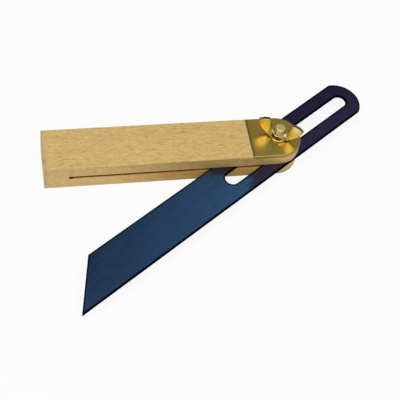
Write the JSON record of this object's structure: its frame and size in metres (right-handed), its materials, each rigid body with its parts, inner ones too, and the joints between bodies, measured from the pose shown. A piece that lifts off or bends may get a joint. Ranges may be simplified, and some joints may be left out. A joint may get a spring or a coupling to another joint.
{
  "type": "sliding bevel",
  "caption": "Carpenter's sliding bevel: a slotted blued steel blade with an angled tip swings and slides in a beech stock with brass end plates, clamped by a screw and wing nut.",
  "frame": {"origin": "on the pivot axis, in the plane of the stock's underside", "axes": "+X along the stock towards its round pivot end, +Y across the stock, +Z along the pivot axis from the screw head to the wing nut"},
  "size_m": [0.1936, 0.1432, 0.0305],
  "materials": {
    "beech": "fine sanded, thinly sealed, grain along the stock",
    "plate_brass": "polished, slightly toned",
    "blued_steel": "blued, brushed lengthways",
    "screw_brass": "turned",
    "nut_brass": "polished"
  },
  "bodies": {
    "stock": {"stock": "beech", "upper_plate": "plate_brass", "lower_plate": "plate_brass"},
    "pivot": {"pivot_screw": "screw_brass"},
    "blade": {"blade": "blued_steel"},
    "nut": {"wing_nut": "nut_brass"}
  },
  "joints": [
    {"name": "blade_swing", "type": "hinge", "parent": "stock", "child": "pivot", "pos_m": [0, 0, 0.0088], "axis": [0, 0, 1], "range_deg": [-20, 312]},
    {"name": "blade_slide", "type": "slide", "parent": "pivot", "child": "blade", "axis": [0.8271, 0.5621, 0], "range_m": [-0.0552, 0.0366]},
    {"name": "nut_turn", "type": "hinge", "parent": "pivot", "child": "nut", "pos_m": [0, 0, 0.02], "axis": [0, 0, 1], "range_deg": [0, 360]}
  ]
}
